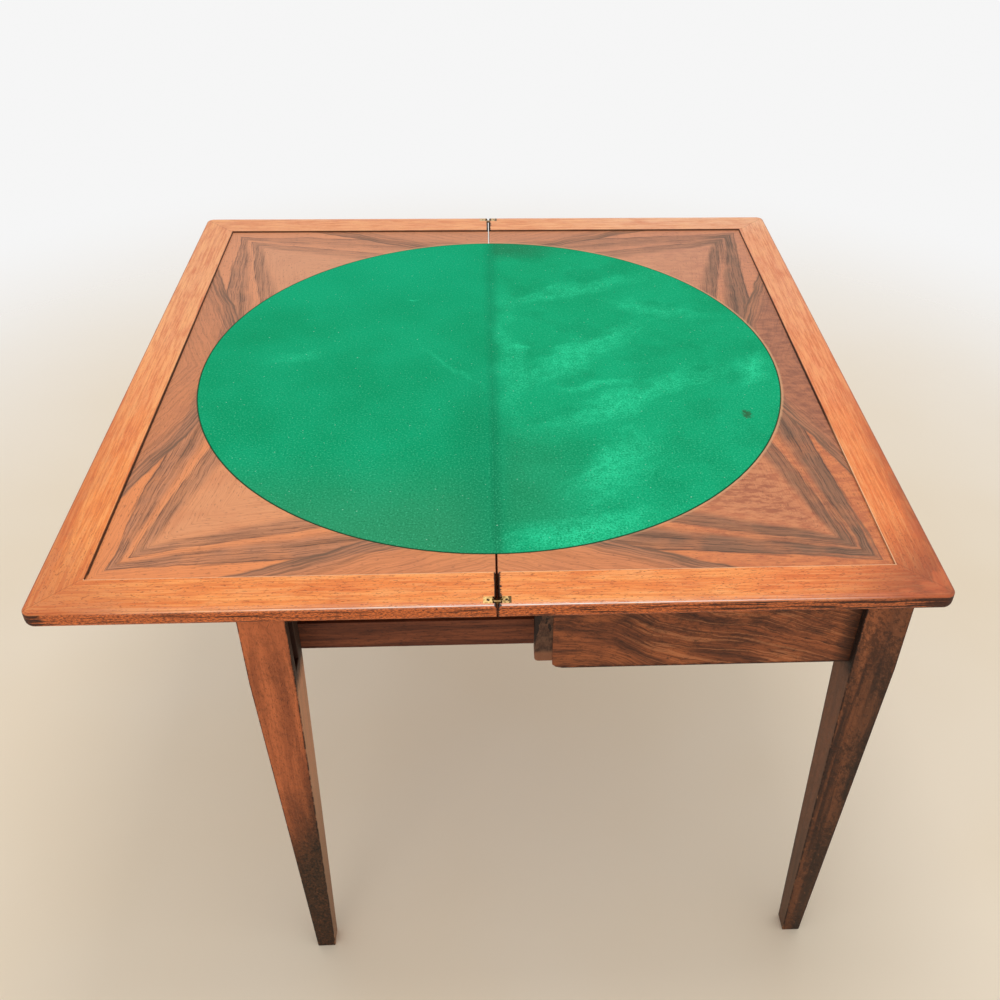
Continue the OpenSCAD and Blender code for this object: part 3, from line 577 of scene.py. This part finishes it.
def baize_cloth(name):
    """Napped green wool, dusty in streaks on the fixed leaf, darker by the fold and near edge."""
    f = Finish(name, Roughness=1.0, Specular_IOR_Level=0.05)
    x, y = f.flat_place()
    nap = f.noise(x / 2.4, y / 2.4, 0.0, detail=3, roughness=0.8)
    felt = f.noise(x / 12, y / 12, 2.0, detail=5, roughness=0.7)
    patch = f.noise(x / 120, y / 120, 0.0, detail=3)
    colour = f.mix(f.step(patch, 0.3, 0.7), srgb(14, 156, 104), srgb(20, 168, 116))
    colour = f.mix(f.step(y, 60, 300) * f.step(x, 40, -60) * 0.5, colour, srgb(18, 176, 126))
    fixed_side = f.step(x, -4, 26)
    colour = f.mix(fixed_side * 0.30, colour, srgb(26, 180, 124))
    shade = f.noise(x / 60, y / 60, 17.0, detail=3)
    colour = f.mix(f.step(shade, 0.45, 0.65) * fixed_side * 0.4, colour, srgb(12, 144, 94))
    # Dust and wear lie in soft streaks, grainy with the nap, and scattered on the fixed side.
    flecks = f.step(nap * 0.6 + felt * 0.4, 0.45, 0.56)
    sway = (shade - 0.5) * 70
    for mid_x, mid_y, angle, length, width, strength in DUSTY_STREAKS:
        turn = math.radians(angle)
        along = (x - mid_x) * math.cos(turn) + (y - mid_y) * math.sin(turn)
        across = (y - mid_y) * math.cos(turn) - (x - mid_x) * math.sin(turn) + sway
        away = f.math("SQRT", along * along / length ** 2 + across * across / width ** 2)
        brushed = f.noise(along / 30, across / 11, mid_x * MM, detail=5, roughness=0.7)
        streak = f.step(away + (brushed - 0.5) * 1.5 + (felt - 0.5) * 0.8, 1.15, 0.15)
        dust = streak * (0.25 + flecks * 0.75)
        colour = f.mix(dust * strength, colour, srgb(56, 228, 166))
    scatter = f.noise(x / 3.6, y / 3.6, 23.0, detail=4, roughness=0.8) + (felt - 0.5) * 0.3
    colour = f.mix(f.step(scatter, 0.54, 0.72) * fixed_side * 0.40, colour, srgb(70, 222, 166))
    # It is greyer and darker towards the near edge, stained at the far end, and painted shade
    # darkens it by the fold.
    dull = f.step(y + (felt - 0.5) * 60, -190, -370) * f.step(x, 40, -60)
    beside = f.step(y + (felt - 0.5) * 90, -110, -270) * f.step(y, -370, -330)
    beside = beside * f.step(x, 150, 30) * fixed_side
    colour = f.mix(beside * 0.45, colour, srgb(46, 134, 90))
    stained = f.step(y + (felt - 0.5) * 40, 305, 355) * f.step(x, -4, 12) * f.step(x, 140, 50)
    colour = f.mix(dull * 0.60, colour, srgb(60, 142, 98))
    colour = f.mix(stained * 0.6, colour, srgb(42, 110, 72))
    fold_shade = f.step(abs(x - 1), 15, 1) * (0.24 + f.step(y, 60, -260) * 0.24)
    around = f.step(abs(x + 12), 60, 0) * f.step(y, 100, -260) * 0.26
    fold_shade = f.math("MAXIMUM", fold_shade, around)
    colour = f.mix(fold_shade, colour, srgb(18, 108, 70))
    # Fibres catch the light or lie in shade; a few threads of lint are left on it.
    rough = 0.42 + f.step(y, 100, -300) * 0.22
    colour = f.mix(f.step(nap, 0.53, 0.68) * rough, colour, srgb(84, 206, 156))
    colour = f.mix(f.step(nap, 0.47, 0.32) * rough, colour, srgb(6, 100, 64))
    lint = f.step(f.noise(x / 3.2, y / 3.2, 31.0, detail=1), 0.75, 0.80)
    colour = f.mix(lint * 0.7, colour, srgb(180, 236, 206))
    # A small burn near the right, and a dark cut edge.
    burn_x, burn_y = BURN
    far = f.math("SQRT", (x - burn_x) * (x - burn_x) + (y - burn_y) * (y - burn_y) * 0.4)
    scorch = f.step(far + (f.noise(x / 4, y / 4, 6.0, detail=2) - 0.5) * 14, 8, 3)
    colour = f.mix(scorch * 0.7, colour, srgb(60, 70, 42))
    out = f.math("SQRT", x * x + (y - BAIZE_Y) * (y - BAIZE_Y))
    colour = f.mix(f.step(out, BAIZE_R - 1.8, BAIZE_R - 0.5) * 0.8, colour, srgb(20, 60, 36))
    return f.finish(colour, None, nap * 0.6 + felt * 0.3)


def brass(name):
    """Old yellow brass, dark at the knuckle and in dirt, and a dull pale tan on the far side."""
    f = Finish(name)
    x, y, z = f.place()
    far_side = f.step(y, -1, 1)
    f.put(f.shader.inputs["Metallic"], 1 - far_side * 0.8)
    spots = f.noise(x / 3, y / 3, z / 3, detail=3)
    colour = f.mix(f.step(spots, 0.42, 0.66), srgb(240, 204, 136), srgb(196, 154, 94))
    # Below the top surface the brass is painted darker, as painted shade in its recess.
    colour = f.mix(f.step(z, TOP_Z - 0.05, TOP_Z - 0.5) * 0.5, colour, srgb(84, 62, 36))
    colour = f.mix(far_side * 0.8, colour, srgb(206, 172, 126))
    knuckle = f.step(abs(x), 5.4, 4.6) * f.step(abs(abs(y) - HINGE_Y), 1.2, 1.6)
    dirty = f.step(x, 0, 4) * f.step(y, 1, -1) * (0.25 + f.step(spots, 0.44, 0.56) * 0.35)
    colour = f.mix(dirty, colour, srgb(120, 88, 54))
    sunk = f.step(x + (spots - 0.5) * 6, 10.4, 11.6)
    colour = f.mix(f.math("MAXIMUM", knuckle, sunk * 0.8), colour, srgb(40, 28, 18))
    return f.finish(colour, 0.38 + spots * 0.2, spots * 0.05)


def iron(name):
    """Dull dark iron, paler on the far side, a screw's slot filled with dirt."""
    f = Finish(name, Metallic=0.8, Specular_IOR_Level=0.2)
    x, y, z = f.place()
    spots = f.noise(x / 1.2, y / 1.2, z / 1.2, detail=4)
    colour = f.mix(f.step(spots, 0.45, 0.65), srgb(150, 124, 84), srgb(96, 72, 46))
    screw = f.step(abs(x), 6, 7)
    slot = f.step(abs((abs(x) - SCREW_X) * 0.8 + (abs(y) - HINGE_Y) * 0.6), 0.8, 0.5)
    colour = f.mix(f.step(y, -1, 1) * screw * 0.8, colour, srgb(236, 204, 150))
    colour = f.mix(slot * screw * 0.95, colour, srgb(20, 14, 10))
    return f.finish(colour, 0.5 + spots * 0.2, spots * 0.06 - slot * 0.2)


def dress(material, *names):
    """Gives the named CAD nodes a material."""
    for name in names:
        mesh = nodes[name].data
        mesh.materials.clear()
        mesh.materials.append(material)


def ease(width, *names):
    """Rounds the arrises of squared pieces by a width in millimetres, as years of use do."""
    for name in names:
        node = nodes[name]
        node.modifiers.new("weld", "WELD").merge_threshold = 0.01 * MM
        flat = node.modifiers.new("flat", "DECIMATE")
        flat.decimate_type = "DISSOLVE"
        flat.angle_limit = math.radians(0.5)
        bevel = node.modifiers.new("ease", "BEVEL")
        bevel.width = width * MM
        bevel.segments = 2
        bevel.limit_method = "ANGLE"
        bevel.angle_limit = math.radians(40)
        bevel.harden_normals = True


def dress_table():
    """Gives every CAD node its finish."""
    dress(rim_wood("rim_along_x", False),
          "fixed_near_rim", "fixed_far_rim", "leaf_near_rim", "leaf_far_rim")
    dress(rim_wood("rim_along_y", True), "fixed_outer_rim", "leaf_outer_rim")
    dress(field_veneer("quartered_veneer"),
          "fixed_outer_veneer", "fixed_near_veneer", "fixed_far_veneer",
          "leaf_outer_veneer", "leaf_near_veneer", "leaf_far_veneer")
    dress(leg_wood("sliding_leg_wood", False), "near_sliding_leg", "far_sliding_leg")
    dress(leg_wood("fixed_leg_wood", True), "near_fixed_leg", "far_fixed_leg")
    dress(apron_veneer("crotch_veneer"), "near_apron_facing", "far_apron_facing")
    dress(rail_wood("rail_along_x", False), "near_apron", "far_apron", "near_slider", "far_slider")
    dress(rail_wood("rail_along_y", True),
          "long_apron", "long_apron_facing", "end_rail", "slider_tie")
    dress(inner_wood("inner_along_x", False), "near_guide", "far_guide")
    dress(inner_wood("inner_along_y", True),
          "cross_rail", "glue_blocks", "near_corner_block", "far_corner_block",
          "fixed_core", "leaf_core")
    dress(brass("old_brass"), "near_fixed_plate", "far_fixed_plate", "near_leaf_plate",
          "far_leaf_plate", "near_link", "far_link")
    dress(iron("old_iron"), "near_fixed_screw", "far_fixed_screw", "near_leaf_screw",
          "far_leaf_screw", "near_pins", "far_pins")


def cloth_half(name, side, material):
    """Half of the baize, from the fold to its round edge on one side of it, 1 or -1."""
    columns = [0, 0.6, 1.2, 1.8, 2.4, 3.0, PIN.x]
    for k in range(1, CLOTH_COLUMNS):
        share = math.sin(math.pi / 2 * k / CLOTH_COLUMNS)
        columns.append(PIN.x + (BAIZE_R - PIN.x) * share)
    mesh = bmesh.new()

    def relief(x, y):
        """How the cloth's top lies: a shallow dip over the fold, and slightly uneven."""
        depth, width, uneven = 0.12, 2.5, 0.06
        dip = -depth * math.exp(-(x / width) ** 2)
        return dip + uneven * math.sin(x / 31 + 1.3 * math.sin(y / 47)) * math.cos(y / 29)

    layers = []
    for top in (True, False):
        grid = []
        for x in columns:
            half = math.sqrt(max(BAIZE_R ** 2 - x ** 2, 0))
            line = []
            for k in range(CLOTH_ROWS + 1):
                y = BAIZE_Y - half * math.cos(math.pi * k / CLOTH_ROWS)
                z = CLOTH_Z + relief(x, y) if top else CORE_Z + GLUE
                line.append(mesh.verts.new((side * x * MM, y * MM, z * MM)))
            grid.append(line)
        tip_z = CLOTH_Z if top else CORE_Z + GLUE
        tip = mesh.verts.new((side * BAIZE_R * MM, BAIZE_Y * MM, tip_z * MM))
        layers.append((grid, tip))
    for (grid, tip), up in zip(layers, (True, False)):
        turn = up == (side > 0)
        for left, right in zip(grid, grid[1:]):
            for k in range(CLOTH_ROWS):
                face = [left[k], right[k], right[k + 1], left[k + 1]]
                mesh.faces.new(face if turn else face[::-1])
        last = grid[-1]
        for k in range(CLOTH_ROWS):
            face = [last[k], tip, last[k + 1]]
            mesh.faces.new(face if turn else face[::-1])

    def rim(layer):
        """A layer's round edge, from its near end to its far end."""
        grid, tip = layer
        near = [line[0] for line in grid]
        far = [line[-1] for line in grid]
        return near + [tip] + far[::-1]

    upper, lower = rim(layers[0]), rim(layers[1])
    for a, b, c, d in zip(upper, upper[1:], lower, lower[1:]):
        face = [a, c, d, b]
        mesh.faces.new(face if side > 0 else face[::-1])
    first_up, first_down = layers[0][0][0], layers[1][0][0]
    for k in range(CLOTH_ROWS):
        face = [first_up[k + 1], first_down[k + 1], first_down[k], first_up[k]]
        mesh.faces.new(face if side > 0 else face[::-1])
    flat = mesh.verts.layers.float_vector.new(FLAT_PLACE)
    for corner in mesh.verts:
        corner[flat] = corner.co / MM
    data = bpy.data.meshes.new(name)
    mesh.to_mesh(data)
    mesh.free()
    for polygon in data.polygons:
        polygon.use_smooth = abs(polygon.normal.z) > 0.5
    data.materials.append(material)
    made = bpy.data.objects.new(name, data)
    bpy.context.scene.collection.objects.link(made)
    return made


def lay_baize():
    """The two halves of the baize, which meet over the fold."""
    material = baize_cloth("green_baize")
    for name, node, body, core, side in (
        ("fixed_cloth", "fixed_baize", "frame", "fixed_core", 1),
        ("leaf_cloth", "leaf_baize", "folding_leaf", "leaf_core", -1),
    ):
        cloth = cloth_half(name, side, material)
        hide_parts(node)
        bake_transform(cloth)


def set_floor():
    """A plain pale floor that fades away into the white all round."""
    radius = 3.2
    fade_from, fade_to = 1000, 2600
    bpy.ops.mesh.primitive_circle_add(vertices=96, radius=radius, fill_type="NGON")
    floor = bpy.context.object
    floor.name = "floor"
    f = Finish("pale_floor", Roughness=0.8, Specular_IOR_Level=0.1)
    x, y = f.place()[:2]
    soft = f.noise(x / 500, y / 500, 0.0)
    colour = f.mix(f.step(soft, 0.3, 0.7), srgb(250, 233, 207), srgb(252, 237, 214))
    material = f.finish(colour)
    away = f.math("SQRT", x * x + y * y)
    clear = f.tree.nodes.new("ShaderNodeBsdfTransparent")
    fade = f.tree.nodes.new("ShaderNodeMixShader")
    f.put(fade.inputs[0], f.step(away, fade_from, fade_to))
    f.tree.links.new(f.shader.outputs[0], fade.inputs[1])
    f.tree.links.new(clear.outputs[0], fade.inputs[2])
    f.tree.links.new(fade.outputs[0], f.tree.nodes["Material Output"].inputs["Surface"])
    floor.data.materials.append(material)


def set_world():
    """Soft white light from all round; what is seen or mirrored of it is brighter."""
    light, seen_light = 0.72, 0.92
    world = bpy.data.worlds.new("studio")
    bpy.context.scene.world = world
    world.use_nodes = True
    tree = world.node_tree
    back = tree.nodes["Background"]
    back.inputs["Color"].default_value = (1, 1, 1, 1)
    path = tree.nodes.new("ShaderNodeLightPath")
    seen = path.outputs["Is Camera Ray"]
    for other in ("Is Glossy Ray", "Is Transmission Ray"):
        both = tree.nodes.new("ShaderNodeMath")
        both.operation = "MAXIMUM"
        tree.links.new(seen, both.inputs[0])
        tree.links.new(path.outputs[other], both.inputs[1])
        seen = both.outputs[0]
    strength = tree.nodes.new("ShaderNodeMapRange")
    tree.links.new(seen, strength.inputs["Value"])
    strength.inputs["To Min"].default_value = light
    strength.inputs["To Max"].default_value = seen_light
    tree.links.new(strength.outputs["Result"], back.inputs["Strength"])


def soft_light(name, place, aim, width, watts):
    """A square lamp of a width in metres, aimed at a point."""
    lamp = bpy.data.lights.new(name, "AREA")
    lamp.shape = "SQUARE"
    lamp.size = width
    lamp.energy = watts
    made = bpy.data.objects.new(name, lamp)
    made.location = place
    made.rotation_euler = (Vector(aim) - Vector(place)).to_track_quat("-Z", "Y").to_euler()
    bpy.context.scene.collection.objects.link(made)


def set_camera():
    """The photograph's view, solved from the top's corners, the legs and the feet."""
    focal_px = 1068.918
    centre_px = (535.667, 483.492)
    image_px = 1000
    yaw, pitch, roll = 0.0565, 0.65256, 0.01882
    place = (-0.00802, -1.26063, 1.48387)
    level = math.cos(pitch)
    forward = Vector((math.sin(yaw) * level, math.cos(yaw) * level, -math.sin(pitch)))
    right = Vector((math.cos(yaw), -math.sin(yaw), 0))
    up = right.cross(forward)
    x_axis = math.cos(roll) * right + math.sin(roll) * up
    y_axis = math.cos(roll) * up - math.sin(roll) * right
    data = bpy.data.cameras.new("camera")
    data.sensor_width = 36
    data.lens = focal_px / image_px * data.sensor_width
    data.shift_x = (image_px / 2 - centre_px[0]) / image_px
    data.shift_y = (centre_px[1] - image_px / 2) / image_px
    camera = bpy.data.objects.new("camera", data)
    turn = Matrix((x_axis, y_axis, -forward)).transposed().to_4x4()
    camera.matrix_world = Matrix.Translation(place) @ turn
    bpy.context.scene.collection.objects.link(camera)
    bpy.context.scene.camera = camera


dress_table()
ease(1.2, "near_sliding_leg", "far_sliding_leg", "near_fixed_leg", "far_fixed_leg")
ease(0.8, "near_slider", "far_slider", "end_rail", "slider_tie", "cross_rail", "near_guide",
     "far_guide", "near_corner_block", "far_corner_block", "glue_blocks")
lay_baize()
set_floor()
set_world()
soft_light("overhead", place=(0.15, -0.1, 2.7), aim=(0.15, -0.1, 0), width=0.8, watts=12)
soft_light("front", place=(-1.2, -2.8, 2.2), aim=(0, 0, 0.4), width=1.2, watts=7)
set_camera()
bpy.context.scene.view_settings.view_transform = "Standard"
